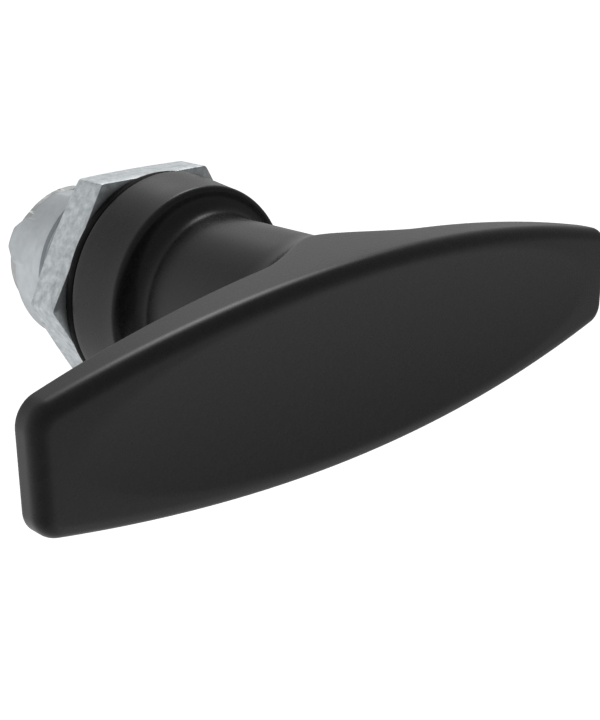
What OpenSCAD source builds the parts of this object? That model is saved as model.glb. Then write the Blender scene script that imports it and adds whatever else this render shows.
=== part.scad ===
// Quarter-turn cam latch with a T-handle for a sheet-metal door.
// Frame: X to the right, Y rearwards through the door, Z up.
// The origin is the centre of the door's cut-out, on the door's front face.
// At rest the handle lies level and the cam points to the right.

/* [T-handle] */
// Length of the handle plate from tip to tip
handle_length = 83.5; // [74:0.5:110]
// Height of the plate at its middle
handle_mid_height = 21.4; // [21:0.2:26]
// Height of the plate at its tips
handle_tip_height = 11.4; // [9:0.2:14]
// Distance from the door's face to the front of the handle
handle_reach = 36.1; // [32:0.1:60]
// Thickness of the plate at its tips
tip_thickness = 3; // [2.6:0.1:4]
// Rise of the plate's back from a tip to the middle
wedge_rise = 4; // [2:0.2:6]
// Radius of the rolled front edge
front_edge_r = 1.6; // [1:0.1:2.2]
// Radius of the plate's four corners, seen from the front
corner_r = 2.6; // [2.3:0.1:4]
// Flat rim between the dish's ends and the plate's tips
dish_end_margin = 4.3; // [4:0.1:12]
// Flat rim between the dish and the rolled edge at the plate's middle
dish_side_margin = 0.2; // [0.2:0.1:3]
// Depth of the dish at its middle
dish_depth = 0.9; // [0.4:0.1:1.4]
// Diameter of the stem
stem_d = 20.4; // [19:0.2:21]
// Radius of the flare from the stem into the plate's back
flare_r = 8; // [5:0.5:10]
// Radius of the fillet from the stem onto the skirt's face
root_fillet_r = 2; // [0.5:0.1:2.4]

/* [Handle skirt] */
// Diameter of the skirt at its rear lip
skirt_lip_d = 28; // [27.6:0.2:34]
// Diameter of the skirt at its front rim
skirt_rim_d = 26.4; // [26:0.2:27.4]
// Rounding of the front rim
skirt_rim_r = 0.7; // [0.2:0.1:0.8]
// Thickness of the skirt's front wall
hub_wall = 3.1; // [2.4:0.1:6]
// Running gap between the skirt's lip and the gasket
lip_gap = 0.3; // [0.2:0.05:0.6]

/* [Housing] */
// Outside diameter of the barrel's thread
thread_d = 21.8; // [21.2:0.1:22.4]
// Distance across the two flats that stop the barrel turning in the door
flats_w = 20.1; // [19:0.1:20.6]
// Length of the threaded barrel behind the door's face
barrel_length = 12; // [9:0.5:20]
// Diameter of the plain nose behind the thread
nose_d = 20.3; // [19.8:0.1:20.8]
// Length of the plain nose
nose_length = 4; // [3.4:0.1:8]
// Distance across the two flats on the nose
nose_flats_w = 19; // [18.8:0.1:20]
// Diameter of the flange that bears on the gasket
flange_d = 24.4; // [23:0.2:24.6]
// Thickness of the flange
flange_t = 3; // [2:0.1:5]
// Diameter of the pocket for the spring and the circlip
pocket_d = 17; // [16.6:0.1:17.6]

/* [Quarter-turn stop] */
// Angle that the handle turns through
turn_angle = 90; // [45:5:100]
// Place of the first stop lug, from X towards Z
lug_angle = 154; // [140:1:170]
// Width of a stop lug at its foot
lug_foot_w = 6.2; // [4:0.1:7]
// Width of a stop lug at its crest
lug_crest_w = 2.4; // [1:0.1:3.6]
// Height of a stop lug behind the nose
lug_height = 1.6; // [1.4:0.1:3]
// Outside diameter of the stop disc's two wings
stop_wing_d = 19; // [18:0.1:19.6]

/* [Gasket and nut] */
// Setback of the flange gasket's edge from the skirt's lip
gasket_inset = 0.1; // [0:0.05:0.6]
// Thickness of the flange gasket
gasket_t = 1.2; // [0.8:0.1:2.5]
// Distance across the flats of the nut
nut_af = 27; // [25:0.5:32]
// Thickness of the nut
nut_t = 5; // [3:0.1:6]
// Angle of the chamfer on the nut's rear corners
nut_chamfer_angle = 15; // [10:1:30]

/* [Spindle] */
// Diameter of the spindle where it turns in the housing
journal_d = 12; // [11.6:0.1:12.6]
// Side of the square tang that the handle is moulded round
tang_w = 10; // [8:0.1:11]
// Length of the square tang
tang_length = 15; // [8:0.5:20]
// Side of the rear square that drives the cam
drive_w = 8; // [7:0.1:8.2]
// Thickness of the shaft seal's section
seal_section = 1.1; // [0.9:0.05:1.4]
// Distance from the door's face back to the seal's groove
seal_y = 2; // [1:0.5:5]

/* [Inner rings] */
// Thickness of the glide washer between the handle and the flange
glide_t = 1; // [0.6:0.1:2]
// Outside diameter of the glide washer
glide_d = 22; // [16:0.2:23.6]
// Thickness of the disc spring's metal
spring_t = 0.6; // [0.4:0.05:0.8]
// Height of the disc spring's cone, without its metal
spring_cone = 0.5; // [0.2:0.05:0.7]
// Thickness of the circlip
circlip_t = 1; // [0.8:0.1:1.2]

/* [Cam] */
// Reach of the cam from the spindle's axis to its tip
cam_reach = 26; // [24:0.5:45]
// Width of the cam
cam_width = 16; // [15:0.2:20]
// Width of the cam at its tip
cam_tip_width = 12; // [9:0.2:14]
// Thickness of the cam's plate
cam_t = 2.5; // [2:0.1:4]
// Forward step of the cam's tip
cam_crank = 3; // [2:0.1:4]
// Distance from the axis to the start of the crank
crank_start = 10.6; // [10.6:0.1:14]
// Slope of the crank
crank_angle = 40; // [30:1:60]

/* [Cam fastening] */
// Thread diameter of the cam screw
screw_d = 5; // [4:0.1:5.4]
// Length of the cam screw's shank
screw_length = 12; // [8:0.5:16]
// Distance across the flats of the screw's head
screw_head_af = 8; // [7.6:0.1:10]
// Height of the screw's head
screw_head_t = 3.5; // [2:0.1:5]
// Outside diameter of the plain washer
washer_d = 12; // [9.4:0.2:14]
// Thickness of the plain washer
washer_t = 1; // [0.6:0.1:1.6]
// Outside diameter of the split lock washer
lock_washer_d = 9.2; // [8:0.1:9.2]
// Thickness of the split lock washer
lock_washer_t = 1.2; // [0.8:0.1:1.6]

/* [Hidden] */
$fn = 120;
// Number of sides for the wide arcs of the plate and the dish
wide_fn = 900;

// Clearances
running_fit = 0.05;
slip_fit = 0.05;
side_play = 0.3;
end_play = 0.1;
stop_gap = 0.1;
spring_play = 0.25;
screw_play = 0.25;
cut_over = 1;

// Small sizes that follow the pieces round them
pocket_setback = 0.4;
lug_rib_rise = 0.35;
stop_hub_wall = 1.7;
seal_groove_spare = 0.33;
circlip_groove_depth = 0.35;
circlip_edge_gap = 1.1;
circlip_eye_r = 0.9;
circlip_eye_angle = 34;
circlip_gap_angle = 50;
cam_tip_round = 3;
nut_face_inset = 0.2;
nut_bore_chamfer = 0.6;
head_chamfer_angle = 30;
tapped_spare = 2;
lock_slit_w = 0.9;
lock_slit_angle = 25;

// Stations along Y, from the front of the handle rearwards
y_front = -handle_reach;
y_flange_front = -gasket_t - flange_t;
y_glide_front = y_flange_front - glide_t;
y_hub = y_glide_front - end_play;
y_skirt = y_hub - hub_wall;
y_lip = -gasket_t - lip_gap;
y_nose = barrel_length;
y_rear = barrel_length + nose_length;
y_disc = y_rear + end_play;
// The stop disc is thick enough to hold the cam clear of the lugs
stop_disc_t = lug_height + end_play;
y_cam = y_disc + stop_disc_t;
y_cam_rear = y_cam + cam_t;
y_washer_rear = y_cam_rear + washer_t;
y_screw_head = y_washer_rear + lock_washer_t;

// Handle plate: two wide arcs meet the straight tips in round corners
half_length = handle_length / 2;
mid_z = handle_mid_height / 2;
tip_z = handle_tip_height / 2;
arc_sag = mid_z - tip_z;
arc_r = (pow(half_length, 2) + pow(arc_sag, 2)) / (2 * arc_sag);
arc_z = mid_z - arc_r;
corner_x = half_length - corner_r;
corner_z = arc_z + sqrt(pow(arc_r - corner_r, 2) - pow(corner_x, 2));
corner_sweep = acos(corner_x / (arc_r - corner_r));
stem_r = stem_d / 2;
flare_foot_x = stem_r + flare_r;
wedge_slope = wedge_rise / half_length;
y_flare_foot = y_front + tip_thickness + wedge_slope * (half_length - flare_foot_x);
y_flare_top = y_flare_foot + flare_r;
head_depth = y_flare_top + cut_over - y_front;
// The flare's rim lies under the plate's back, and the plate's long edges trim it to just past its top
flare_rim_r = flare_foot_x - flare_r * wedge_slope;
y_trim = y_flare_top + end_play;
dish_length = handle_length - 2 * dish_end_margin;
dish_height = handle_mid_height - 2 * (front_edge_r + dish_side_margin);
dish_long_r = pow(dish_length / 2, 2) / (2 * dish_depth);
dish_cross_r = pow(dish_height / 2, 2) / (2 * dish_depth);

// Skirt
skirt_lip_r = skirt_lip_d / 2;
skirt_rim_outer = skirt_rim_d / 2;
skirt_taper = atan((skirt_lip_r - skirt_rim_outer) / (y_lip - y_skirt));
skirt_rim_setback = skirt_rim_r / tan((90 + skirt_taper) / 2);
cavity_r = flange_d / 2 + side_play;

// Housing and stop
thread_r = thread_d / 2;
nose_r = nose_d / 2;
thread_chamfer = thread_r - nose_r;
journal_r = journal_d / 2;
pocket_r = pocket_d / 2;
spring_outer_r = pocket_r - side_play;
spring_inner_r = journal_r + spring_play;
y_pocket = y_nose + pocket_setback;
y_circlip = y_pocket + spring_t + spring_cone + end_play;
lug_rib_r = nose_r + lug_rib_rise;
stop_angle = asin((lug_foot_w / 2 + stop_gap) / pocket_r);
wing_angle = 180 - turn_angle - 2 * stop_angle;
stop_hub_r = drive_w / sqrt(2) + stop_hub_wall;

// Seal and circlip grooves
seal_groove_r = journal_r + running_fit - seal_section - 2 * slip_fit;
seal_ring_r = seal_groove_r + slip_fit + seal_section / 2;
seal_groove_w = seal_section + seal_groove_spare;
circlip_groove_r = journal_r - circlip_groove_depth;

// Cam, nut and screw
crank_run = cam_crank / tan(crank_angle);
nut_corner_r = nut_af / sqrt(3);
nut_face_r = nut_af / 2 - nut_face_inset;
tapped_r = screw_d / 2 + slip_fit;
screw_clear_r = screw_d / 2 + screw_play;
tapped_depth = screw_length + tapped_spare;

handle_colour = [0.13, 0.13, 0.135];
rubber_colour = [0.18, 0.18, 0.185];
zinc_colour = [0.66, 0.69, 0.71];
steel_colour = [0.72, 0.73, 0.72];
plastic_colour = [0.85, 0.84, 0.79];

// Turns a profile drawn as (radius, Y) or an outline drawn flat into the Y direction
module along_y(y = 0) {
    translate([0, y, 0])
        rotate([-90, 0, 0])
            children();
}

// Revolves a profile drawn as (radius, Y) about the Y axis
module turned() {
    along_y()
        rotate_extrude()
            children();
}

// Ring about the Y axis
module ring(outer_r, inner_r, y, length) {
    along_y(y)
        difference() {
            cylinder(r = outer_r, h = length);
            translate([0, 0, -cut_over])
                cylinder(r = inner_r, h = length + 2 * cut_over);
        }
}

// Square bar along the Y axis
module square_bar(side, y, length) {
    translate([-side / 2, y, -side / 2])
        cube([side, length, side]);
}

// Profile of an edge rolled at its front: radius across, depth towards the rear
module rolled_profile(radius, depth) {
    square([radius - front_edge_r, depth]);
    translate([0, front_edge_r])
        square([radius, depth - front_edge_r]);
    translate([radius - front_edge_r, front_edge_r])
        intersection() {
            circle(r = front_edge_r);
            translate([0, -front_edge_r])
                square(front_edge_r);
        }
}

// Wide disc whose rim gives one long edge of the plate, side is 1 for the top and -1 for the bottom
module arc_disc(side) {
    translate([0, 0, side * arc_z])
        along_y(y_front)
            rotate_extrude($fn = wide_fn)
                rolled_profile(arc_r, head_depth);
}

// Bar with rolled front edges that gives the two straight tips
module tip_bar() {
    translate([0, y_front, -mid_z - cut_over])
        linear_extrude(handle_mid_height + 2 * cut_over)
            for (side = [0, 1])
                mirror([side, 0])
                    rolled_profile(half_length, head_depth);
}

// The space outside one round corner, cut back to the flat front inside the rolled edge
module corner_wedge() {
    start = (corner_r - front_edge_r) / 2;
    reach = corner_r + cut_over;
    polygon([
        [start, 0],
        [reach, 0],
        [reach, reach * tan(corner_sweep / 2)],
        [reach * cos(corner_sweep), reach * sin(corner_sweep)],
        [start * cos(corner_sweep), start * sin(corner_sweep)]
    ]);
}

// Places a child at each of the plate's corners
module at_corners() {
    for (flip_x = [0, 1], flip_z = [0, 1])
        mirror([flip_x, 0, 0])
            mirror([0, 0, flip_z])
                translate([corner_x, 0, -corner_z])
                    children();
}

// Lens-shaped block with rolled front edges and corners, deeper than the plate
module lens_block() {
    difference() {
        intersection() {
            arc_disc(1);
            arc_disc(-1);
            tip_bar();
        }
        at_corners()
            along_y(y_front - cut_over)
                linear_extrude(head_depth + 2 * cut_over)
                    corner_wedge();
    }
    at_corners()
        along_y(y_front)
            rotate(180)
                rotate_extrude()
                    rolled_profile(corner_r, head_depth);
}

// Back of the plate: it falls away to each tip
module plate_wedge() {
    translate([0, 0, -mid_z - cut_over])
        linear_extrude(handle_mid_height + 2 * cut_over)
            polygon([
                [-half_length - cut_over, y_front - cut_over],
                [half_length + cut_over, y_front - cut_over],
                [half_length + cut_over, y_front + tip_thickness - wedge_slope * cut_over],
                [0, y_front + tip_thickness + wedge_rise],
                [-half_length - cut_over, y_front + tip_thickness - wedge_slope * cut_over]
            ]);
}

// Flare, stem, root fillet and skirt as one turned profile
module handle_core() {
    turned() {
        difference() {
            translate([0, y_front + tip_thickness])
                square([flare_rim_r, y_flare_top - y_front - tip_thickness]);
            translate([flare_foot_x, y_flare_top])
                circle(r = flare_r);
        }
        translate([0, y_flare_foot])
            square([stem_r, y_skirt - y_flare_foot + cut_over]);
        difference() {
            translate([0, y_skirt - root_fillet_r])
                square([stem_r + root_fillet_r, root_fillet_r + cut_over]);
            translate([stem_r + root_fillet_r, y_skirt - root_fillet_r])
                circle(r = root_fillet_r);
        }
        polygon([
            [0, y_skirt],
            [skirt_rim_outer - skirt_rim_setback, y_skirt],
            [
                skirt_rim_outer + skirt_rim_setback * sin(skirt_taper),
                y_skirt + skirt_rim_setback * cos(skirt_taper)
            ],
            [skirt_lip_r, y_lip],
            [0, y_lip]
        ]);
        translate([skirt_rim_outer - skirt_rim_setback, y_skirt + skirt_rim_r])
            circle(r = skirt_rim_r);
    }
}

// Shallow dish: a patch of a wide ring laid into the front face
module dish() {
    sweep = 2 * asin((dish_length / 2 + cut_over) / dish_long_r);
    translate([0, y_front + dish_depth - dish_long_r, 0])
        rotate([0, 0, 90 - sweep / 2])
            rotate_extrude(angle = sweep, $fn = 4 * wide_fn)
                intersection() {
                    translate([dish_long_r - dish_cross_r, 0])
                        circle(r = dish_cross_r, $fn = wide_fn);
                    translate([dish_long_r - 2 * dish_depth, -dish_height])
                        square([4 * dish_depth, 2 * dish_height]);
                }
}

module t_handle() {
    color(handle_colour)
        difference() {
            intersection() {
                union() {
                    plate_wedge();
                    handle_core();
                }
                union() {
                    lens_block();
                    along_y(y_trim)
                        cylinder(r = skirt_lip_d, h = y_lip - y_trim + cut_over);
                }
            }
            dish();
            along_y(y_hub)
                cylinder(r = cavity_r, h = y_lip - y_hub + cut_over);
            square_bar(tang_w, y_hub - tang_length, tang_length + cut_over);
        }
}

module spindle() {
    square_y = y_rear + end_play;
    square_end = y_cam_rear - side_play;
    color(steel_colour)
        difference() {
            union() {
                square_bar(tang_w, y_hub - tang_length, tang_length);
                along_y(y_hub)
                    cylinder(r = journal_r, h = square_y - y_hub);
                square_bar(drive_w, square_y, square_end - square_y);
            }
            ring(journal_r + cut_over, seal_groove_r, seal_y, seal_groove_w);
            ring(journal_r + cut_over, circlip_groove_r, y_circlip - slip_fit, circlip_t + 2 * slip_fit);
            along_y(square_end - tapped_depth)
                cylinder(r = tapped_r, h = tapped_depth + cut_over);
        }
}

// One stop lug, pointing along X: a cast rib on the nose that rises behind it to a narrow crest
module stop_lug() {
    rotate([0, 90, 0])
        linear_extrude(lug_rib_r + cut_over)
            rotate(90)
                polygon([
                    [y_nose + thread_chamfer, -lug_foot_w / 2],
                    [y_nose + thread_chamfer, lug_foot_w / 2],
                    [y_disc, lug_foot_w / 2],
                    [y_rear + lug_height, lug_crest_w / 2],
                    [y_rear + lug_height, -lug_crest_w / 2],
                    [y_disc, -lug_foot_w / 2]
                ]);
}

// The space above one flat, which steps down half way along the barrel's chamfer
module flat_cut() {
    y_step = y_nose - thread_chamfer / 2;
    translate([-thread_r, 0, 0])
        rotate([90, 0, 90])
            linear_extrude(thread_d)
                polygon([
                    [-gasket_t, flats_w / 2],
                    [y_step, flats_w / 2],
                    [y_step, nose_flats_w / 2],
                    [y_rear + cut_over, nose_flats_w / 2],
                    [y_rear + cut_over, thread_d],
                    [-gasket_t, thread_d]
                ]);
}

module housing() {
    color(zinc_colour)
        difference() {
            union() {
                turned()
                    polygon([
                        [0, y_flange_front],
                        [flange_d / 2, y_flange_front],
                        [flange_d / 2, -gasket_t],
                        [thread_r, -gasket_t],
                        [thread_r, y_nose - thread_chamfer],
                        [nose_r, y_nose],
                        [nose_r, y_rear],
                        [0, y_rear]
                    ]);
                intersection() {
                    for (turn = [0, 180])
                        rotate([0, -lug_angle - turn, 0])
                            stop_lug();
                    along_y(y_nose)
                        cylinder(r = lug_rib_r, h = nose_length + lug_height + cut_over);
                }
            }
            for (side = [0, 1])
                mirror([0, 0, side])
                    flat_cut();
            along_y(y_flange_front - cut_over)
                cylinder(r = journal_r + running_fit, h = y_rear - y_flange_front + 2 * cut_over);
            along_y(y_pocket)
                cylinder(r = pocket_r, h = y_rear - y_pocket + lug_height + cut_over);
        }
}

module flange_gasket() {
    color(rubber_colour)
        ring(skirt_lip_r - gasket_inset, thread_r + side_play, -gasket_t, gasket_t);
}

module hex_nut() {
    corner_drop = (nut_corner_r - nut_face_r) * tan(nut_chamfer_angle);
    bore_r = thread_r + running_fit;
    color(zinc_colour)
        difference() {
            intersection() {
                along_y()
                    cylinder(r = nut_corner_r, h = nut_t, $fn = 6);
                turned()
                    polygon([
                        [0, 0],
                        [nut_corner_r + cut_over, 0],
                        [nut_corner_r + cut_over, nut_t - corner_drop - cut_over * tan(nut_chamfer_angle)],
                        [nut_face_r, nut_t],
                        [0, nut_t]
                    ]);
            }
            turned()
                polygon([
                    [0, -cut_over],
                    [bore_r + nut_bore_chamfer + cut_over, -cut_over],
                    [bore_r, nut_bore_chamfer],
                    [bore_r, nut_t - nut_bore_chamfer],
                    [bore_r + nut_bore_chamfer + cut_over, nut_t + cut_over],
                    [0, nut_t + cut_over]
                ]);
        }
}

module glide_washer() {
    color(plastic_colour)
        ring(glide_d / 2, journal_r + side_play, y_glide_front, glide_t);
}

module shaft_seal() {
    color(rubber_colour)
        along_y(seal_y + seal_groove_w / 2)
            rotate_extrude()
                translate([seal_ring_r, 0])
                    circle(d = seal_section);
}

// Coned spring washer, wide end towards the rear
module disc_spring() {
    color(steel_colour)
        turned()
            polygon([
                [spring_inner_r, y_pocket],
                [spring_outer_r, y_pocket + spring_cone],
                [spring_outer_r, y_pocket + spring_cone + spring_t],
                [spring_inner_r, y_pocket + spring_t]
            ]);
}

// Places a child at each of the circlip's eyes
module at_eyes() {
    for (side = [-1, 1])
        rotate([0, -90 + side * circlip_eye_angle, 0])
            translate([pocket_r - circlip_edge_gap - circlip_eye_r / 2, 0, 0])
                children();
}

// Open ring in the spindle's groove, with two eyes for the pliers
module circlip() {
    inner_r = circlip_groove_r + slip_fit;
    outer_r = pocket_r - circlip_edge_gap;
    color(steel_colour)
        difference() {
            union() {
                along_y(y_circlip)
                    rotate(-90 + circlip_gap_angle / 2)
                        rotate_extrude(angle = 360 - circlip_gap_angle)
                            translate([inner_r, 0])
                                square([outer_r - inner_r, circlip_t]);
                at_eyes()
                    along_y(y_circlip)
                        cylinder(r = circlip_eye_r, h = circlip_t);
            }
            at_eyes()
                along_y(y_circlip - cut_over)
                    cylinder(r = circlip_eye_r / 2, h = circlip_t + 2 * cut_over);
        }
}

// Disc with two wings that run between the housing's lugs
module stop_disc() {
    wing_r = stop_wing_d / 2;
    color(steel_colour)
        difference() {
            union() {
                along_y(y_disc)
                    cylinder(r = stop_hub_r, h = stop_disc_t);
                for (turn = [0, 180])
                    rotate([0, -lug_angle + stop_angle + wing_angle - turn, 0])
                        rotate([-90, 0, 0])
                            translate([0, 0, y_disc])
                                rotate(-wing_angle)
                                    rotate_extrude(angle = wing_angle)
                                        square([wing_r, stop_disc_t]);
            }
            square_bar(drive_w + 2 * slip_fit, y_disc - cut_over, stop_disc_t + 2 * cut_over);
        }
}

// Side view of the cranked plate, drawn as (X, Y)
module crank_profile() {
    crank_end = crank_start + crank_run;
    polygon([
        [-cam_width, y_cam],
        [crank_start, y_cam],
        [crank_end, y_cam - cam_crank],
        [cam_reach + cut_over, y_cam - cam_crank],
        [cam_reach + cut_over, y_cam_rear - cam_crank],
        [crank_end + cam_t * tan(crank_angle / 2), y_cam_rear - cam_crank],
        [crank_start + cam_t * tan(crank_angle / 2), y_cam_rear],
        [-cam_width, y_cam_rear]
    ]);
}

// Front view of the cam: round at the spindle, narrowing to a tip with round corners
module cam_outline() {
    circle(d = cam_width);
    polygon([
        [0, -cam_width / 2],
        [crank_start, -cam_width / 2],
        [cam_reach - cam_tip_round, -cam_tip_width / 2],
        [cam_reach - cam_tip_round, cam_tip_width / 2],
        [crank_start, cam_width / 2],
        [0, cam_width / 2]
    ]);
    translate([cam_reach - 2 * cam_tip_round, -cam_tip_width / 2 + cam_tip_round])
        square([2 * cam_tip_round, cam_tip_width - 2 * cam_tip_round]);
    for (side = [-1, 1])
        translate([cam_reach - cam_tip_round, side * (cam_tip_width / 2 - cam_tip_round)])
            circle(r = cam_tip_round);
}

module cam() {
    color(steel_colour)
        difference() {
            intersection() {
                translate([0, 0, -cam_width / 2])
                    linear_extrude(cam_width)
                        crank_profile();
                along_y(y_cam - cam_crank - cut_over)
                    linear_extrude(cam_t + cam_crank + 2 * cut_over)
                        cam_outline();
            }
            square_bar(drive_w + 2 * slip_fit, y_cam - cut_over, cam_t + 2 * cut_over);
        }
}

module cam_washer() {
    color(steel_colour)
        ring(washer_d / 2, screw_clear_r, y_cam_rear, washer_t);
}

// Spring washer, split by one slanting cut
module lock_washer() {
    color(steel_colour)
        difference() {
            ring(lock_washer_d / 2, screw_clear_r, y_washer_rear, lock_washer_t);
            translate([0, y_washer_rear + lock_washer_t / 2, lock_washer_d / 2])
                rotate([0, 0, lock_slit_angle])
                    cube([lock_slit_w, 4 * lock_washer_t, lock_washer_d], center = true);
        }
}

module cam_screw() {
    head_corner_r = screw_head_af / sqrt(3);
    head_face_r = screw_head_af / 2 - nut_face_inset;
    corner_drop = (head_corner_r - head_face_r) * tan(head_chamfer_angle);
    color(steel_colour) {
        intersection() {
            along_y(y_screw_head)
                cylinder(r = head_corner_r, h = screw_head_t, $fn = 6);
            translate([0, y_screw_head, 0])
                turned()
                    polygon([
                        [0, 0],
                        [head_corner_r, 0],
                        [head_corner_r, screw_head_t - corner_drop],
                        [head_face_r, screw_head_t],
                        [0, screw_head_t]
                    ]);
        }
        along_y(y_screw_head - screw_length)
            cylinder(r = screw_d / 2, h = screw_length);
    }
}

t_handle();
spindle();
housing();
flange_gasket();
hex_nut();
glide_washer();
shaft_seal();
disc_spring();
circlip();
stop_disc();
cam();
cam_washer();
lock_washer();
cam_screw();
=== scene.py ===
"""Looks of a quarter-turn cam latch with a T-handle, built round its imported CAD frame.

The frame is X to the right, Y rearwards through the door and Z up, in metres.
"""

import logging
import math
from dataclasses import dataclass, field
from enum import Enum

import bmesh
import bpy
import numpy as np
from mathutils import Matrix, Vector


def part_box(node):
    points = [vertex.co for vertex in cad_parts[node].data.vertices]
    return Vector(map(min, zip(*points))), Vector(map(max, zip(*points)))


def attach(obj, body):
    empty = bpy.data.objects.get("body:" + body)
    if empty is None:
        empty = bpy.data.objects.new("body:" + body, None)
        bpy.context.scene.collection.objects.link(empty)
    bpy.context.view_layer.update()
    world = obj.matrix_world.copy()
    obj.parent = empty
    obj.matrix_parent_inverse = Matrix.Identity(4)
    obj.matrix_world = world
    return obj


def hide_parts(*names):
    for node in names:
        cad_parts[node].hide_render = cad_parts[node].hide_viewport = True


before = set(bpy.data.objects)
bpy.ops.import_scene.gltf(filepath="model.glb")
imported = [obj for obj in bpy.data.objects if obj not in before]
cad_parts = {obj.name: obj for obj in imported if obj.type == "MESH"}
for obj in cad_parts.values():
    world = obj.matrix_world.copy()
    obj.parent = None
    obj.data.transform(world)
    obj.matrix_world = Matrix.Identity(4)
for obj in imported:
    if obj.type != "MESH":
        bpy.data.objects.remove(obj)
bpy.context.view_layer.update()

LOG = logging.getLogger("latch")
MM = 0.001
WHITE = (1.0, 1.0, 1.0, 1.0)
# Points nearer to each other than this become one point.
WELD_GAP = 1e-7
# Share of an edge's radius that the middle ring of its rounding is set in by.
EDGE_MIDDLE = 0.3
# Largest share of a profile's side that the rounding of one corner takes up.
SIDE_SHARE = 0.45
# Noise values between which a finish changes.
NOISE_LOW, NOISE_HIGH = 0.3, 0.7
# Sockets of a Mix node that mixes colours.
MIX_FIRST, MIX_SECOND, MIX_RESULT = 6, 7, 2

Colour = tuple[float, float, float]
Profile = list[tuple[float, float]]
Ring = np.ndarray
Socket = bpy.types.NodeSocket


class Body(Enum):
    """CAD bodies that pieces ride on."""

    HOUSING = "housing_body"
    NUT = "nut_body"
    TURNING = "turning_body"


class Slot(Enum):
    """Material slots of the record."""

    POLYAMIDE = "black_polyamide"
    ZINC = "zinc_casting"
    STEEL = "plated_steel"
    SPRING = "spring_steel"
    RUBBER = "seal_rubber"
    GLIDE = "glide_plastic"


class Graph:
    """Small helper that adds and links shader nodes in one node tree."""

    def __init__(self, tree: bpy.types.NodeTree) -> None:
        """Takes the node tree of a material or a world and empties it."""
        self.tree = tree
        tree.nodes.clear()

    def add(
        self, kind: str, sockets: dict[str | int, object] | None = None, **settings: object
    ) -> bpy.types.Node:
        """Adds a node.

        Args:
            kind: Node type without its ShaderNode prefix.
            sockets: Input values or sockets to link, by input name or index.
            settings: Properties of the node itself.

        Returns:
            The new node.
        """
        node = self.tree.nodes.new("ShaderNode" + kind)
        for name, value in settings.items():
            setattr(node, name, value)
        for name, value in (sockets or {}).items():
            if isinstance(value, Socket):
                self.tree.links.new(value, node.inputs[name])
            else:
                node.inputs[name].default_value = value
        return node

    def noise(self, scale: float, detail: float, roughness: float) -> Socket:
        """Adds solid noise in object space.

        Args:
            scale: Noise cells per metre.
            detail: Number of octaves.
            roughness: Strength of the finer octaves.

        Returns:
            The noise value's socket.
        """
        place = self.add("TexCoord").outputs["Object"]
        node = self.add("TexNoise", {
            "Vector": place, "Scale": scale, "Detail": detail, "Roughness": roughness})
        return node.outputs["Fac"]

    def blend(self, share: Socket, low: Colour, high: Colour) -> Socket:
        """Mixes two linear RGB colours by the share of the second one.

        Args:
            share: Share of the second colour.
            low: First colour.
            high: Second colour.

        Returns:
            The mixed colour's socket.
        """
        node = self.add("Mix", {0: share}, data_type="RGBA")
        node.inputs[MIX_FIRST].default_value = (*low, 1.0)
        node.inputs[MIX_SECOND].default_value = (*high, 1.0)
        return node.outputs[MIX_RESULT]

    def spread(self, source: Socket, low: float, high: float) -> Socket:
        """Maps the middle of a noise value to the range from low to high."""
        node = self.add("MapRange", {
            "Value": source, "From Min": NOISE_LOW, "From Max": NOISE_HIGH,
            "To Min": low, "To Max": high})
        return node.outputs["Result"]


@dataclass(frozen=True)
class Finish:
    """A surface with mottled colour, uneven gloss and fine relief."""

    slot: Slot
    dark: Colour
    light: Colour
    roughness: tuple[float, float]
    metallic: float
    mottle_scale: float
    grain_scale: float
    grain_height: float
    specular: float = 0.5
    ior: float = 1.5
    mottle_detail: float = 5.0
    mottle_roughness: float = 0.62
    grain_detail: float = 2.0
    grain_roughness: float = 0.55

    def material(self) -> bpy.types.Material:
        """Builds the procedural material.

        Returns:
            The new material.
        """
        made = bpy.data.materials.new(self.slot.value)
        made.use_nodes = True
        graph = Graph(made.node_tree)
        mottle = graph.noise(self.mottle_scale, self.mottle_detail, self.mottle_roughness)
        grain = graph.noise(self.grain_scale, self.grain_detail, self.grain_roughness)
        relief = graph.add("Bump", {
            "Height": grain, "Strength": 1.0, "Distance": self.grain_height})
        surface = graph.add("BsdfPrincipled", {
            "Base Color": graph.blend(graph.spread(mottle, 0.0, 1.0), self.dark, self.light),
            "Metallic": self.metallic,
            "Roughness": graph.spread(mottle, *self.roughness),
            "IOR": self.ior,
            "Specular IOR Level": self.specular,
            "Normal": relief.outputs["Normal"],
        })
        graph.add("OutputMaterial", {"Surface": surface.outputs["BSDF"]})
        return made


class Skin:
    """Closed mesh made of rings of points, joined one to the next."""

    def __init__(self, name: str) -> None:
        """Starts an empty skin for an object of that name."""
        self.name = name
        self.rings: list[Ring] = []

    def ring(self, points: Ring | tuple[float, float, float]) -> None:
        """Adds one ring, or a pole where it holds a single point."""
        self.rings.append(np.asarray(points, float).reshape(-1, 3))

    def build(self, loop: bool = False, crease: float = 40.0) -> bpy.types.Object:
        """Makes the object.

        Args:
            loop: True to join the last ring to the first.
            crease: Angle in degrees above which an edge stays sharp.

        Returns:
            The new object, linked to the scene.
        """
        starts = np.cumsum([0] + [len(ring) for ring in self.rings])
        pairs = list(zip(range(len(self.rings) - 1), range(1, len(self.rings))))
        if loop:
            pairs.append((len(self.rings) - 1, 0))
        faces = []
        for a, b in pairs:
            count_a, count_b = len(self.rings[a]), len(self.rings[b])
            count = max(count_a, count_b)
            for j in range(count):
                k = (j + 1) % count
                corners = [
                    starts[a] + j % count_a, starts[a] + k % count_a,
                    starts[b] + k % count_b, starts[b] + j % count_b]
                faces.append(list(dict.fromkeys(int(corner) for corner in corners)))
        mesh = bpy.data.meshes.new(self.name)
        mesh.from_pydata(np.concatenate(self.rings).tolist(), [], faces)
        return finish_mesh(mesh, crease)


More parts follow.
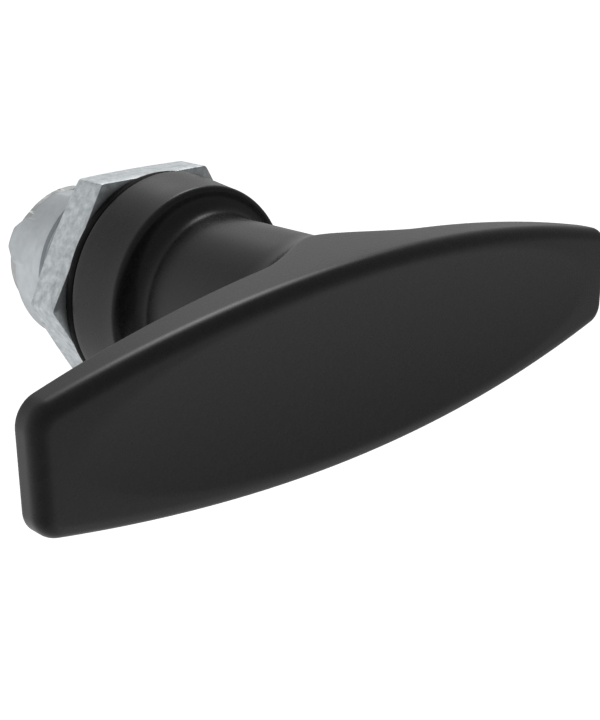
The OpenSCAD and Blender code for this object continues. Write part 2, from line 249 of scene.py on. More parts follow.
def finish_mesh(mesh: bpy.types.Mesh, crease: float) -> bpy.types.Object:
    """Cleans a mesh, turns its faces outwards and links an object for it.

    Args:
        mesh: Mesh to clean.
        crease: Angle in degrees above which an edge stays sharp.

    Returns:
        The new object.
    """
    work = bmesh.new()
    work.from_mesh(mesh)
    bmesh.ops.remove_doubles(work, verts=work.verts, dist=WELD_GAP)
    bmesh.ops.dissolve_degenerate(work, edges=work.edges, dist=WELD_GAP)
    bmesh.ops.recalc_face_normals(work, faces=work.faces)
    work.to_mesh(mesh)
    work.free()
    mesh.polygons.foreach_set("use_smooth", [True] * len(mesh.polygons))
    mesh.set_sharp_from_angle(angle=math.radians(crease))
    made = bpy.data.objects.new(mesh.name, mesh)
    bpy.context.scene.collection.objects.link(made)
    return made


def smooth_max(a: np.ndarray, b: np.ndarray, width: float) -> np.ndarray:
    """Larger of two heights, blended where they differ by less than the width."""
    near = np.maximum(width - np.abs(a - b), 0.0) / width
    return np.maximum(a, b) + near * near * width / 4


def bend(start: np.ndarray, corner: np.ndarray, end: np.ndarray, t: float) -> np.ndarray:
    """Point at share t of the curve that rounds a corner from start to end."""
    return (1 - t) ** 2 * start + 2 * t * (1 - t) * corner + t * t * end


def rounded(corners: Profile, radius: float, steps: int = 4) -> Profile:
    """Rounds the inner corners of an open profile.

    Args:
        corners: Profile corners as radius and Y.
        radius: Distance from a corner at which the rounding starts.
        steps: Number of steps in each rounding.

    Returns:
        The rounded profile.
    """
    points = [np.array(corner) for corner in corners]
    path = [points[0]]
    for before, here, after in zip(points, points[1:], points[2:]):
        length_in, length_out = np.linalg.norm(before - here), np.linalg.norm(after - here)
        start = here + (before - here) / length_in * min(radius, length_in * SIDE_SHARE)
        end = here + (after - here) / length_out * min(radius, length_out * SIDE_SHARE)
        path += [bend(start, here, end, t) for t in np.linspace(0, 1, steps + 1)]
    path.append(points[-1])
    return [(float(point[0]), float(point[1])) for point in path]


def turns(count: int) -> np.ndarray:
    """Evenly spaced angles once round the Y axis."""
    return np.arange(count) * 2 * math.pi / count


def spokes(count: int) -> np.ndarray:
    """Unit directions round the Y axis, as rows of X and Z."""
    turn = turns(count)
    return np.stack([np.cos(turn), np.sin(turn)], 1)


def headings(flat: np.ndarray) -> np.ndarray:
    """Unit directions from the axis to flat points, as rows of X and Z."""
    return flat / np.linalg.norm(flat, axis=1)[:, None]


def at_radius(directions: np.ndarray, radius: np.ndarray | float, y: np.ndarray | float) -> Ring:
    """Places a ring of points round the Y axis.

    Args:
        directions: Unit directions as X and Z.
        radius: One radius or one for each direction.
        y: One place along Y or one for each direction.

    Returns:
        The points.
    """
    radius = np.broadcast_to(radius, len(directions))
    height = np.broadcast_to(y, len(directions))
    return np.stack([directions[:, 0] * radius, height, directions[:, 1] * radius], 1)


def place(
    piece: bpy.types.Object, body: Body, slot: Slot, material: bpy.types.Material, *nodes: str
) -> None:
    """Dresses a piece and lets it stand for CAD nodes on their body.

    Args:
        piece: New object, in place.
        body: Body that it rides on.
        slot: Record slot of its finish; not used.
        material: Material to give it.
        nodes: CAD nodes that it replaces.
    """
    piece.data.materials.clear()
    piece.data.materials.append(material)
    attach(piece, body.value)
    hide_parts(*nodes)
    LOG.info("%s: %d faces", piece.name, len(piece.data.polygons))


@dataclass
class Finishes:
    """Finishes of the latch, one for each record slot and a smoother zinc for the housing."""

    polyamide: Finish = Finish(
        Slot.POLYAMIDE, dark=(0.017, 0.017, 0.0175), light=(0.022, 0.022, 0.0225),
        roughness=(0.25, 0.30), metallic=0.0, mottle_scale=900.0,
        grain_scale=9000.0, grain_height=5e-7, specular=0.4)
    zinc: Finish = Finish(
        Slot.ZINC, dark=(0.50, 0.54, 0.56), light=(0.79, 0.83, 0.85),
        roughness=(0.54, 0.38), metallic=0.92, mottle_scale=1100.0,
        grain_scale=2600.0, grain_height=9e-6)
    satin_zinc: Finish = Finish(
        Slot.ZINC, dark=(0.56, 0.595, 0.615), light=(0.64, 0.675, 0.695),
        roughness=(0.44, 0.38), metallic=0.92, mottle_scale=700.0,
        grain_scale=5000.0, grain_height=3e-6)
    steel: Finish = Finish(
        Slot.STEEL, dark=(0.53, 0.54, 0.54), light=(0.62, 0.63, 0.63),
        roughness=(0.60, 0.52), metallic=1.0, mottle_scale=700.0,
        grain_scale=6000.0, grain_height=1e-6)
    spring: Finish = Finish(
        Slot.SPRING, dark=(0.10, 0.10, 0.105), light=(0.17, 0.17, 0.18),
        roughness=(0.48, 0.36), metallic=0.9, mottle_scale=900.0,
        grain_scale=7000.0, grain_height=2e-6)
    rubber: Finish = Finish(
        Slot.RUBBER, dark=(0.006, 0.006, 0.0065), light=(0.010, 0.010, 0.0105),
        roughness=(0.66, 0.56), metallic=0.0, mottle_scale=1400.0,
        grain_scale=8000.0, grain_height=4e-6, specular=0.12)
    glide: Finish = Finish(
        Slot.GLIDE, dark=(0.66, 0.64, 0.57), light=(0.75, 0.73, 0.66),
        roughness=(0.42, 0.34), metallic=0.0, mottle_scale=600.0,
        grain_scale=7000.0, grain_height=1e-6)
    made: dict[Slot, bpy.types.Material] = field(default_factory=dict)

    def __post_init__(self) -> None:
        """Builds the material of every slot."""
        shared = (self.polyamide, self.zinc, self.steel, self.spring, self.rubber, self.glide)
        self.made.update((finish.slot, finish.material()) for finish in shared)


@dataclass
class Handle:
    """T-handle: a dished lens plate on a flared stem with a hollow skirt."""

    tip_z: float = 5.7 * MM
    tip_thickness: float = 3.0 * MM
    wedge_rise: float = 4.0 * MM
    front_edge_r: float = 1.6 * MM
    corner_r: float = 2.6 * MM
    mid_z: float = 10.7 * MM
    dish_end_margin: float = 4.3 * MM
    dish_side_margin: float = 0.2 * MM
    dish_depth: float = 0.9 * MM
    dish_blend: float = 0.05 * MM
    stem_r: float = 10.2 * MM
    flare_r: float = 8.0 * MM
    flare_blend: float = 0.25 * MM
    root_fillet_r: float = 2.0 * MM
    back_edge_r: float = 0.3 * MM
    skirt_rim_outer: float = 13.2 * MM
    skirt_rim_r: float = 0.7 * MM
    skirt_length: float = 6.9 * MM
    lip_edge_r: float = 0.18 * MM
    hub_wall: float = 3.1 * MM
    cavity_r: float = 12.5 * MM
    tang_w: float = 10.0 * MM
    tang_length: float = 15.0 * MM
    tip_steps: int = 18
    corner_steps: int = 14
    arc_steps: int = 132
    dish_rings: tuple[float, ...] = (
        *np.linspace(0.06, 0.9, 18), 0.93, 0.955, 0.975, 0.99, 1.0)
    rim_rings: tuple[float, ...] = (0.25, 0.5, 0.75)
    roll_steps: int = 15
    wall_rings: tuple[float, ...] = (0.2, 0.4, 0.6, 0.8)
    back_edge_steps: int = 6
    back_rows: int = 46
    trace_steps: int = 240
    stem_steps: int = 9
    fillet_steps: int = 10
    skirt_rim_steps: int = 9
    skirt_rings: tuple[float, ...] = (0.3, 0.6, 0.85)
    socket_rings: tuple[float, ...] = (0.0, 0.5, 1.0)
    y_front: float = 0.0
    y_lip: float = 0.0
    half_length: float = 0.0
    lip_r: float = 0.0

    def __post_init__(self) -> None:
        """Takes the overall sizes from the CAD node."""
        low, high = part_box("t_handle")
        self.y_front, self.y_lip = low.y, high.y
        self.half_length, self.lip_r = high.x, high.z

    def outline(self) -> tuple[np.ndarray, np.ndarray]:
        """Works out the plate's front view.

        Returns:
            Points and outward normals round the plate, as rows of X and Z.
        """
        sag = self.mid_z - self.tip_z
        arc_r = (self.half_length ** 2 + sag ** 2) / (2 * sag)
        arc_z = self.mid_z - arc_r
        corner_x = self.half_length - self.corner_r
        corner_z = arc_z + math.sqrt((arc_r - self.corner_r) ** 2 - corner_x ** 2)
        sweep = math.acos(corner_x / (arc_r - self.corner_r))
        half, full = math.pi, 2 * math.pi
        points, normals = [], []

        def arc(x: float, z: float, radius: float, start: float, end: float, steps: int) -> None:
            """Adds an arc without its last point.

            Args:
                x: Centre along X.
                z: Centre along Z.
                radius: Radius of the arc.
                start: Angle where it starts.
                end: Angle where it ends.
                steps: Number of points.
            """
            for angle in np.linspace(start, end, steps, endpoint=False):
                normals.append((math.cos(angle), math.sin(angle)))
                points.append((x + radius * math.cos(angle), z + radius * math.sin(angle)))

        def tip(x: float, z_start: float, z_end: float) -> None:
            """Adds a straight tip without its last point.

            Args:
                x: Place of the tip along X.
                z_start: Height where it starts.
                z_end: Height where it ends.
            """
            for z in np.linspace(z_start, z_end, self.tip_steps, endpoint=False):
                normals.append((math.copysign(1.0, x), 0.0))
                points.append((x, z))

        tip(self.half_length, -corner_z, corner_z)
        arc(corner_x, corner_z, self.corner_r, 0, sweep, self.corner_steps)
        arc(0, arc_z, arc_r, sweep, half - sweep, self.arc_steps)
        arc(-corner_x, corner_z, self.corner_r, half - sweep, half, self.corner_steps)
        tip(-self.half_length, corner_z, -corner_z)
        arc(-corner_x, -corner_z, self.corner_r, half, half + sweep, self.corner_steps)
        arc(0, -arc_z, arc_r, half + sweep, full - sweep, self.arc_steps)
        arc(corner_x, -corner_z, self.corner_r, full - sweep, full, self.corner_steps)
        return np.array(points), np.array(normals)

    def front(self, skin: Skin, edge: np.ndarray, normals: np.ndarray) -> None:
        """Adds the dish, the flat rim and the rolled edge.

        Args:
            skin: Skin to add to.
            edge: Outline points.
            normals: Outline normals.
        """
        half_long = self.half_length - self.dish_end_margin
        half_high = self.mid_z - self.front_edge_r - self.dish_side_margin
        inner = edge - normals * self.front_edge_r
        heading = headings(inner)
        reach = 1 / np.hypot(heading[:, 0] / half_long, heading[:, 1] / half_high)
        rim = heading * reach[:, None]

        def face_ring(flat: np.ndarray) -> Ring:
            """Lays flat points onto the dished face.

            Args:
                flat: Points as rows of X and Z.

            Returns:
                The points on the face.
            """
            share = np.hypot(flat[:, 0] / half_long, flat[:, 1] / half_high)
            dish = self.dish_depth * (1 - share ** 2)
            sink = smooth_max(dish, np.zeros(len(flat)), self.dish_blend)
            return np.stack([flat[:, 0], self.y_front + sink, flat[:, 1]], 1)

        skin.ring((0, self.y_front + self.dish_depth, 0))
        for share in self.dish_rings:
            skin.ring(face_ring(rim * share))
        for share in self.rim_rings:
            skin.ring(face_ring(rim + (inner - rim) * share))
        for angle in np.radians(np.linspace(90, 0, self.roll_steps)):
            flat = edge - normals * (self.front_edge_r * (1 - math.cos(angle)))
            y = self.y_front + self.front_edge_r * (1 - math.sin(angle))
            skin.ring(np.stack([flat[:, 0], np.full(len(flat), y), flat[:, 1]], 1))

    def back_y(self, radius: np.ndarray, x: np.ndarray) -> np.ndarray:
        """Works out the plate's back, where the wedge runs into the flare.

        Args:
            radius: Distances from the axis.
            x: Places along X.

        Returns:
            The back's places along Y.
        """
        slope = self.wedge_rise / self.half_length
        foot_x = self.stem_r + self.flare_r
        wedge = self.y_front + self.tip_thickness + slope * (self.half_length - np.abs(x))
        foot_y = self.y_front + self.tip_thickness + slope * (self.half_length - foot_x)
        inside = np.clip(foot_x - radius, 0, self.flare_r)
        rise = self.flare_r - np.sqrt(self.flare_r ** 2 - inside ** 2)
        flare = foot_y + rise - np.maximum(radius - foot_x, 0)
        return smooth_max(wedge, flare, self.flare_blend)

    def back(self, skin: Skin, edge: np.ndarray) -> float:
        """Adds the side wall, its rear edge and the back as far as the stem.

        Args:
            skin: Skin to add to.
            edge: Outline points.

        Returns:
            The place along Y where the stem starts.
        """
        heading = headings(edge)
        columns = []
        wall_start = self.y_front + self.front_edge_r
        for way, start in zip(heading, np.linalg.norm(edge, axis=1)):
            trace = np.linspace(1, 0, self.trace_steps) ** 2
            radius = self.stem_r + (start - self.stem_r) * trace
            y = self.back_y(radius, radius * way[0])
            run = np.concatenate([[0], np.cumsum(np.hypot(np.diff(radius), np.diff(y)))])
            corner = np.array([start, y[0]])
            before = corner - np.array([0, self.back_edge_r])
            after = np.array([np.interp(self.back_edge_r, run, line) for line in (radius, y)])
            wall = before[1] - wall_start
            column = [(start, wall_start + wall * t) for t in self.wall_rings]
            for t in np.linspace(0, 1, self.back_edge_steps):
                column.append(tuple(bend(before, corner, after, t)))
            for place_on in np.linspace(self.back_edge_r, run[-1], self.back_rows + 1)[1:]:
                column.append((np.interp(place_on, run, radius), np.interp(place_on, run, y)))
            columns.append(column)
        table = np.array(columns)
        for row in range(table.shape[1]):
            skin.ring(at_radius(heading, table[:, row, 0], table[:, row, 1]))
        return float(table[:, -1, 1].max())

    def stem(self, skin: Skin, heading: np.ndarray, y_start: float) -> None:
        """Adds the stem, the skirt, its hollow and the tang's socket.

        Args:
            skin: Skin to add to.
            heading: Directions of the columns.
            y_start: Where the stem starts.
        """
        y_skirt = self.y_lip - self.skirt_length
        y_hub = y_skirt + self.hub_wall
        fillet_y = y_skirt - self.root_fillet_r
        fillet_r, rim_r = self.root_fillet_r, self.skirt_rim_r
        taper = math.atan((self.lip_r - self.skirt_rim_outer) / self.skirt_length)
        rim_x = self.skirt_rim_outer - rim_r / math.tan((math.pi / 2 + taper) / 2)
        profile = [(self.stem_r, y) for y in np.linspace(y_start, fillet_y, self.stem_steps)[1:]]
        for a in np.linspace(0, math.pi / 2, self.fillet_steps)[1:]:
            profile.append((
                self.stem_r + fillet_r * (1 - math.cos(a)), fillet_y + fillet_r * math.sin(a)))
        for a in np.linspace(math.pi / 2, -taper, self.skirt_rim_steps):
            profile.append((rim_x + rim_r * math.cos(a), y_skirt + rim_r * (1 - math.sin(a))))
        foot = np.array(profile[-1])
        lip = (self.lip_r, self.y_lip)
        profile += [tuple(foot + (np.array(lip) - foot) * t) for t in self.skirt_rings]
        profile += rounded([
            profile[-1], lip, (self.cavity_r, self.y_lip), (self.cavity_r, y_hub),
            (self.tang_w, y_hub)], self.lip_edge_r)[1:]
        for radius, y in profile:
            skin.ring(at_radius(heading, radius, y))
        socket = self.tang_w / 2 / np.abs(heading).max(1)
        for depth in self.socket_rings:
            skin.ring(at_radius(heading, socket, y_hub - self.tang_length * depth))
        skin.ring((0, y_hub - self.tang_length, 0))

    def build(self, finishes: Finishes) -> None:
        """Makes the handle and dresses it.

        Args:
            finishes: The latch's materials.
        """
        edge, normals = self.outline()
        skin = Skin("handle_moulding")
        self.front(skin, edge, normals)
        y_start = self.back(skin, edge)
        self.stem(skin, headings(edge), y_start)
        material = finishes.made[Slot.POLYAMIDE]
        place(skin.build(), Body.TURNING, Slot.POLYAMIDE, material, "t_handle")


@dataclass
class HexBlock:
    """Hexagonal nut or screw head with a chamfer on its rear corners."""

    across_flats: float
    y_start: float
    y_end: float
    face_inset: float = 0.2 * MM
    chamfer: float = math.radians(30)
    corner_r: float = 0.5 * MM
    edge_r: float = 0.12 * MM
    columns: int = 360
    half_bay: float = math.pi / 6
    face_rings: tuple[float, ...] = (0.0, 0.5, 1.0)
    side_rings: tuple[float, ...] = (0.3, 0.6, 0.9)

    def reach(self) -> np.ndarray:
        """Works out how far the rounded hexagon lies from the axis.

        Returns:
            The distance for each column.
        """
        bay = (turns(self.columns) + self.half_bay) % (2 * self.half_bay) - self.half_bay
        flat = self.across_flats / 2
        corner_x = (flat - self.corner_r) / math.cos(self.half_bay)
        edge = flat / np.cos(self.half_bay - np.abs(bay))
        inside = np.maximum(self.corner_r ** 2 - (corner_x * np.sin(bay)) ** 2, 0)
        rounding = corner_x * np.cos(bay) + np.sqrt(inside)
        corner_half = self.corner_r * math.sin(self.half_bay)
        on_corner = np.abs(rounding * np.sin(bay)) <= corner_half
        return np.where(on_corner, np.minimum(edge, rounding), edge)

    def rings(self, skin: Skin, inner_front: float, inner_rear: float) -> None:
        """Adds the block's front face, sides, chamfer and rear face.

        Args:
            skin: Skin to add to.
            inner_front: Radius where the front face starts.
            inner_rear: Radius where the rear face ends.
        """
        ways = spokes(self.columns)
        reach = self.reach()
        face_r = self.across_flats / 2 - self.face_inset
        drop = np.maximum(reach - face_r, 0) * math.tan(self.chamfer)
        wall_start, wall_end = self.y_start + self.edge_r, self.y_end - drop
        middle = self.edge_r * EDGE_MIDDLE
        for t in self.face_rings:
            front_r = inner_front + (reach - self.edge_r - inner_front) * t
            skin.ring(at_radius(ways, front_r, self.y_start))
        skin.ring(at_radius(ways, reach - middle, self.y_start + middle))
        skin.ring(at_radius(ways, reach, wall_start))
        for t in self.side_rings:
            skin.ring(at_radius(ways, reach, wall_start + (wall_end - wall_start) * t))
        skin.ring(at_radius(ways, reach, wall_end))
        skin.ring(at_radius(ways, (reach + face_r) / 2, wall_end + drop / 2))
        for t in self.face_rings:
            skin.ring(at_radius(ways, face_r + (inner_rear - face_r) * t, self.y_end))


@dataclass
class Nut:
    """Hexagonal panel nut on the barrel's thread."""

    bore_r: float = 10.95 * MM
    bore_chamfer: float = 0.6 * MM
    chamfer: float = math.radians(15)
    crease: float = 28.0

    def build(self, finishes: Finishes) -> None:
        """Makes the nut and dresses it.

        Args:
            finishes: The latch's materials.
        """
        low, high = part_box("hex_nut")
        block = HexBlock(high.z * 2, low.y, high.y, chamfer=self.chamfer)
        skin = Skin("panel_nut")
        ways = spokes(block.columns)
        mouth = self.bore_r + self.bore_chamfer
        block.rings(skin, mouth, mouth)
        for y in (high.y - self.bore_chamfer, (low.y + high.y) / 2, low.y + self.bore_chamfer):
            skin.ring(at_radius(ways, self.bore_r, y))
        made = skin.build(loop=True, crease=self.crease)
        place(made, Body.NUT, Slot.ZINC, finishes.made[Slot.ZINC], "hex_nut")


@dataclass
class Housing:
    """Cast housing: flange, threaded barrel with two flats, nose, stop lugs and pocket."""

    thread_r: float = 10.9 * MM
    thread_root_r: float = 10.3 * MM
    thread_end: float = 9.7 * MM
    pitch: float = 1.05 * MM
    crest_share: float = 0.0625
    flank_share: float = 0.375
    runout_share: float = 0.25
    rings_per_pitch: int = 16
    flat_z: float = 10.05 * MM
    nose_flat_z: float = 9.5 * MM
    nose_r: float = 10.15 * MM
    nose_rings: int = 7
    flange_r: float = 12.2 * MM
    flange_t: float = 3.0 * MM
    bore_r: float = 6.05 * MM
    pocket_r: float = 8.5 * MM
    pocket_setback: float = 0.4 * MM
    pocket_ring: float = 1.2 * MM
    barrel_length: float = 12.0 * MM
    nose_length: float = 4.0 * MM
    lug_turn: float = math.radians(154)
    lug_mid_r: float = 10.4 * MM
    lug_foot_half: float = 3.1 * MM
    lug_crest_half: float = 1.2 * MM
    lug_rise: float = 0.35 * MM
    lug_steepness: float = 6.0
    edge_r: float = 0.25 * MM
    crease: float = 32.0
    columns: int = 360

    def lug_share(self) -> np.ndarray:
        """Works out how far each column lies inside a stop lug.

        Returns:
            A share from 0 to 1 for each column.
        """
        foot = math.asin(self.lug_foot_half / self.lug_mid_r)
        crest = math.asin(self.lug_crest_half / self.lug_mid_r)
        turn = turns(self.columns)
        away = np.abs((turn - self.lug_turn + math.pi / 2) % math.pi - math.pi / 2)
        return np.clip((foot - away) / (foot - crest), 0, 1)

    def flat_limit(self, height: float) -> np.ndarray:
        """Distance from the axis to two flats at that height, for each column."""
        return height / np.maximum(np.abs(spokes(self.columns)[:, 1]), 1e-6)

    def barrel_radius(self, y: float) -> np.ndarray:
        """Works out the threaded barrel's radius.

        Args:
            y: Place along Y.

        Returns:
            The radius for each column before the flats are cut.
        """
        phase = (y / self.pitch - turns(self.columns) / (2 * math.pi)) % 1.0
        away = np.minimum(phase, 1 - phase)
        depth = np.clip((away - self.crest_share) / (self.flank_share - self.crest_share), 0, 1)
        fade = np.clip((self.thread_end - y) / (self.pitch * self.runout_share), 0, 1)
        thread = self.thread_r - (self.thread_r - self.thread_root_r) * depth * fade
        return np.minimum(thread, self.nose_r + np.maximum(self.barrel_length - y, 0))

    def barrel(self, skin: Skin, y_start: float) -> None:
        """Adds the threaded barrel, its flats and the chamfer.

        Args:
            skin: Skin to add to.
            y_start: Where the thread starts behind the flange.
        """
        ways = spokes(self.columns)
        limit = self.flat_limit(self.flat_z)
        count = int((self.barrel_length - y_start) / self.pitch * self.rings_per_pitch)
        for y in np.linspace(y_start, self.barrel_length, count):
            skin.ring(at_radius(ways, np.minimum(self.barrel_radius(y), limit), y))

    def nose(self, skin: Skin, y_rear: float, y_crest: float) -> None:
        """Adds the nose, its stop lugs and the mouth of the pocket.

        Args:
            skin: Skin to add to.
            y_rear: Where the nose ends between its lugs.
            y_crest: Where the lugs end.
        """
        ways = spokes(self.columns)
        lug = self.lug_share()
        rise = self.lug_rise * np.clip(lug * self.lug_steepness, 0, 1)
        limit = self.flat_limit(self.nose_flat_z)
        outer = np.minimum(self.nose_r + rise, limit)
        crest_y = y_rear + (y_crest - y_rear) * lug
        start = self.barrel_length + self.edge_r
        middle = self.edge_r * EDGE_MIDDLE
        for t in np.linspace(0, 1, self.nose_rings):
            swell = np.minimum(self.nose_r + rise * t * t, limit)
            skin.ring(at_radius(ways, swell, start + (crest_y - self.edge_r - start) * t))
        skin.ring(at_radius(ways, outer - middle, crest_y - middle))
        skin.ring(at_radius(ways, outer - self.edge_r, crest_y))
        skin.ring(at_radius(ways, self.pocket_r + self.edge_r, crest_y))
        skin.ring(at_radius(ways, self.pocket_r, crest_y - self.edge_r))

    def build(self, finishes: Finishes) -> None:
        """Makes the housing and dresses it.

        Args:
            finishes: The latch's materials.
        """
        low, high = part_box("housing")
        ways = spokes(self.columns)
        flange_rear = low.y + self.flange_t
        y_rear = self.barrel_length + self.nose_length
        y_pocket = self.barrel_length + self.pocket_setback
        skin = Skin("housing_casting")
        front = rounded([
            (self.bore_r, flange_rear), (self.bore_r, low.y), (self.flange_r, low.y),
            (self.flange_r, flange_rear), (self.thread_r, flange_rear)], self.edge_r)
        for radius, y in front[1:]:
            skin.ring(at_radius(ways, radius, y))
        self.barrel(skin, flange_rear)
        self.nose(skin, y_rear, high.y)
        for y in (y_rear - self.pocket_ring, y_pocket):
            skin.ring(at_radius(ways, self.pocket_r, y))
        for y in (y_pocket, (y_pocket + low.y) / 2):
            skin.ring(at_radius(ways, self.bore_r, y))
        made = skin.build(loop=True, crease=self.crease)
        place(made, Body.HOUSING, Slot.ZINC, finishes.satin_zinc.material(), "housing")


@dataclass
class Gasket:
    """Flat flange gasket with a slightly bulged edge."""

    inner_r: float = 11.2 * MM
    bulge: float = 0.12 * MM
    edge_r: float = 0.2 * MM
    columns: int = 240

    def build(self, finishes: Finishes) -> None:
        """Makes the gasket and dresses it.

        Args:
            finishes: The latch's materials.
        """
        low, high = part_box("flange_gasket")
        middle = (low.y + high.y) / 2
        outer_r = high.x - self.bulge
        ways = spokes(self.columns)
        skin = Skin("flange_seal")
        section = rounded([
            (self.inner_r, middle), (self.inner_r, low.y), (outer_r, low.y), (high.x, middle),
            (outer_r, high.y), (self.inner_r, high.y), (self.inner_r, middle)], self.edge_r)
        for radius, y in section[:-1]:
            skin.ring(at_radius(ways, radius, y))
        material = finishes.made[Slot.RUBBER]
        place(skin.build(loop=True), Body.HOUSING, Slot.RUBBER, material, "flange_gasket")


@dataclass
class CamScrew:
    """Hexagon-head screw that clamps the cam to the spindle."""

    shank_r: float = 2.5 * MM
    tip_r: float = 2.0 * MM
    root_r: float = 2.1 * MM
    neck_r: float = 2.25 * MM
    pitch: float = 0.8 * MM
    head_t: float = 3.5 * MM
    head_corner_r: float = 0.3 * MM
    dish_r: float = 2.6 * MM
    dish_floor_r: float = 2.21 * MM
    dish_depth: float = 0.35 * MM
    crease: float = 28.0
    columns: int = 144

    def build(self, finishes: Finishes) -> None:
        """Makes the screw and dresses it.

        Args:
            finishes: The latch's materials.
        """
        low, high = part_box("cam_screw")
        block = HexBlock(
            high.z * 2, high.y - self.head_t, high.y,
            corner_r=self.head_corner_r, columns=self.columns)
        ways = spokes(self.columns)
        skin = Skin("cam_bolt")
        skin.ring((0, low.y, 0))
        skin.ring(at_radius(ways, self.tip_r, low.y))
        for step in range(int((block.y_start - low.y) / self.pitch)):
            y = low.y + self.pitch * (step + 0.5)
            skin.ring(at_radius(ways, self.shank_r, y))
            skin.ring(at_radius(ways, self.root_r, y + self.pitch / 2))
        skin.ring(at_radius(ways, self.neck_r, block.y_start))
        block.rings(skin, self.shank_r, self.dish_r)
        skin.ring(at_radius(ways, self.dish_floor_r, high.y - self.dish_depth))
        skin.ring((0, high.y - self.dish_depth, 0))
        made = skin.build(crease=self.crease)
        place(made, Body.TURNING, Slot.STEEL, finishes.made[Slot.STEEL], "cam_screw")


@dataclass
class FrameParts:
    """Pieces whose CAD shape is right: they get edge breaks and finishes."""

    edge_break: float = 0.15 * MM
    break_segments: int = 2
    break_angle: float = math.radians(35)
    weld_gap: float = 1e-6
    dress: dict[str, Slot] = field(default_factory=lambda: {
        "spindle": Slot.STEEL,
        "glide_washer": Slot.GLIDE,
        "shaft_seal": Slot.RUBBER,
        "disc_spring": Slot.SPRING,
        "circlip": Slot.SPRING,
        "stop_disc": Slot.STEEL,
        "cam": Slot.STEEL,
        "cam_washer": Slot.STEEL,
        "lock_washer": Slot.SPRING,
    })
    plain: tuple[str, ...] = ("shaft_seal",)

    def break_edges(self, node: bpy.types.Object) -> None:
        """Rounds a node's sharp edges and evens out its shading.

        Args:
            node: CAD node to work on.
        """
        weld = node.modifiers.new("weld", "WELD")
        weld.merge_threshold = self.weld_gap
        bevel = node.modifiers.new("edge", "BEVEL")
        bevel.width = self.edge_break
        bevel.segments = self.break_segments
        bevel.limit_method = "ANGLE"
        bevel.angle_limit = self.break_angle
        node.modifiers.new("shade", "WEIGHTED_NORMAL").keep_sharp = True

    def build(self, finishes: Finishes) -> None:
        """Dresses the CAD nodes.

        Args:
            finishes: The latch's materials.
        """
        for name, slot in self.dress.items():
            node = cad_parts[name]
            node.data.materials.clear()
            node.data.materials.append(finishes.made[slot])
            if name not in self.plain:
                self.break_edges(node)
            LOG.info("%s: CAD shape with %s", name, slot.value)


@dataclass(frozen=True)
class Glow:
    """Soft patch of studio light: its direction, half width in degrees and strength."""

    way: tuple[float, float, float]
    spread: float
    level: float

    def add(self, graph: Graph, ways: Socket, below: Socket | float) -> Socket:
        """Adds the patch to the light that is there already.

        Args:
            graph: Node graph of the world.
            ways: Direction of each ray.
            below: Light so far.

        Returns:
            The summed light's socket.
        """
        sharp = math.log(2) / (1 - math.cos(math.radians(self.spread)))
        toward = Vector(self.way).normalized()
        near = graph.add("VectorMath", {0: ways, 1: toward}, operation="DOT_PRODUCT")
        bent = graph.add(
            "Math", {0: near.outputs["Value"], 1: sharp, 2: -sharp}, operation="MULTIPLY_ADD")
        bump = graph.add("Math", {0: math.e, 1: bent.outputs[0]}, operation="POWER")
        total = graph.add(
            "Math", {0: bump.outputs[0], 1: self.level, 2: below}, operation="MULTIPLY_ADD")
        return total.outputs[0]


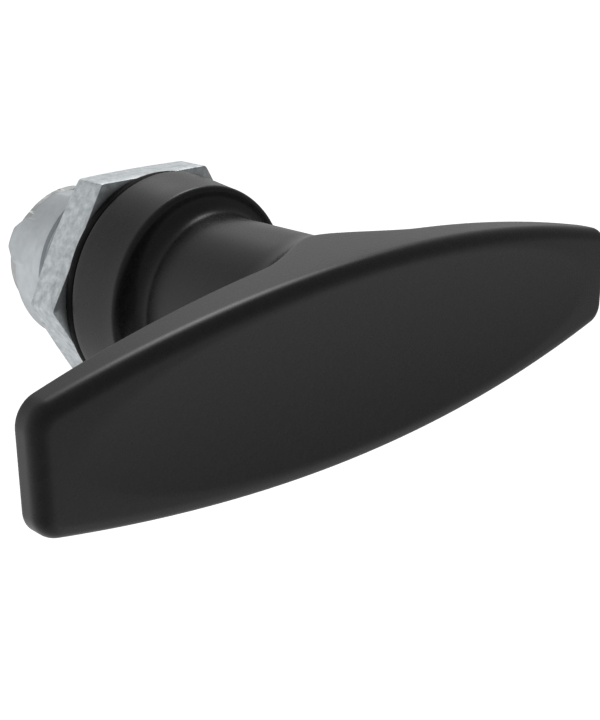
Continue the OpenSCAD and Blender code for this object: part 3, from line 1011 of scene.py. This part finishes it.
@dataclass
class Studio:
    """Camera, soft light, sky and floor."""

    azimuth: float = math.radians(-45.155)
    elevation: float = math.radians(20.0)
    roll: float = math.radians(-0.0576)
    target: tuple[float, float, float] = (3.81 * MM, -20.04 * MM, -5.54 * MM)
    distance: float = 140.57 * MM
    lens: float = 61.66
    sensor: float = 36.0
    clip: tuple[float, float] = (0.005, 50.0)
    floor_z: float = -0.11
    floor_size: float = 6.0
    floor_grey: float = 0.9
    floor_glow: float = 0.7
    ambient: float = 0.18
    glows: tuple[Glow, ...] = (
        Glow((0.46, 0.40, 0.79), 10.0, 4.5),
        Glow((0.50, 0.66, 0.56), 14.0, 0.30),
        Glow((0.67, 0.66, 0.10), 25.0, 0.25),
        Glow((0.10, 0.50, 0.86), 15.0, 0.4),
        Glow((-0.65, 0.70, 0.05), 40.0, 0.65),
        Glow((-0.20, 0.60, -0.75), 35.0, 0.5),
        Glow((0.38, -0.60, -0.68), 28.0, 0.57),
    )

    def camera(self) -> None:
        """Places the camera at the photo's angle."""
        a, e = self.azimuth, self.elevation
        back = Vector((math.sin(a) * math.cos(e), -math.cos(a) * math.cos(e), math.sin(e)))
        data = bpy.data.cameras.new("camera")
        data.sensor_fit = "VERTICAL"
        data.sensor_width = data.sensor_height = self.sensor
        data.lens = self.lens
        data.clip_start, data.clip_end = self.clip
        made = bpy.data.objects.new("camera", data)
        bpy.context.scene.collection.objects.link(made)
        stand = Matrix.Translation(Vector(self.target) + back * self.distance)
        turn = (-back).to_track_quat("-Z", "Y").to_matrix().to_4x4()
        made.matrix_world = stand @ turn @ Matrix.Rotation(self.roll, 4, "Z")
        bpy.context.scene.camera = made

    def sky(self) -> None:
        """Fills the world with soft patches of light; the camera itself sees white."""
        world = bpy.data.worlds.new("studio")
        bpy.context.scene.world = world
        world.use_nodes = True
        graph = Graph(world.node_tree)
        ways = graph.add("TexCoord").outputs["Generated"]
        total = self.ambient
        for glow in self.glows:
            total = glow.add(graph, ways, total)
        seen = graph.add("LightPath").outputs["Is Camera Ray"]
        shown = graph.add("Mix", {0: seen, 2: total, 3: 1.0})
        light = graph.add("Background", {"Color": WHITE, "Strength": shown.outputs[0]})
        graph.add("OutputWorld", {"Surface": light.outputs["Background"]})

    def floor_material(self) -> bpy.types.Material:
        """Makes the floor's finish, which mirrored rays pass through.

        Returns:
            The new material.
        """
        pale = bpy.data.materials.new("floor")
        pale.use_nodes = True
        graph = Graph(pale.node_tree)
        path = graph.add("LightPath").outputs
        grey = (self.floor_grey, self.floor_grey, self.floor_grey, 1.0)
        paper = graph.add("BsdfDiffuse", {"Color": grey}).outputs[0]
        glow = graph.add("Emission", {"Color": WHITE, "Strength": self.floor_glow}).outputs[0]
        both = graph.add("AddShader", {0: paper, 1: glow}).outputs[0]
        seen = graph.add("MixShader", {0: path["Is Camera Ray"], 1: paper, 2: both}).outputs[0]
        clear = graph.add("BsdfTransparent").outputs[0]
        whole = graph.add("MixShader", {0: path["Is Glossy Ray"], 1: seen, 2: clear}).outputs[0]
        graph.add("OutputMaterial", {"Surface": whole})
        return pale

    def floor(self) -> None:
        """Lays a plain pale floor that keeps the shadow and lets mirrored rays see the sky."""
        half = self.floor_size / 2
        signs = ((-1, -1), (1, -1), (1, 1), (-1, 1))
        mesh = bpy.data.meshes.new("floor")
        mesh.from_pydata([(x * half, y * half, self.floor_z) for x, y in signs], [], [(0, 1, 2, 3)])
        made = bpy.data.objects.new("floor", mesh)
        bpy.context.scene.collection.objects.link(made)
        mesh.materials.append(self.floor_material())

    def build(self) -> None:
        """Sets up the whole studio."""
        bpy.context.scene.view_settings.view_transform = "Standard"
        self.camera()
        self.sky()
        self.floor()


def main() -> None:
    """Builds the latch's pieces and the studio."""
    logging.basicConfig(level=logging.INFO, format="%(message)s")
    finishes = Finishes()
    for part in (Handle(), Housing(), Gasket(), Nut(), CamScrew(), FrameParts()):
        part.build(finishes)
    Studio().build()


if __name__ == "__main__":
    main()
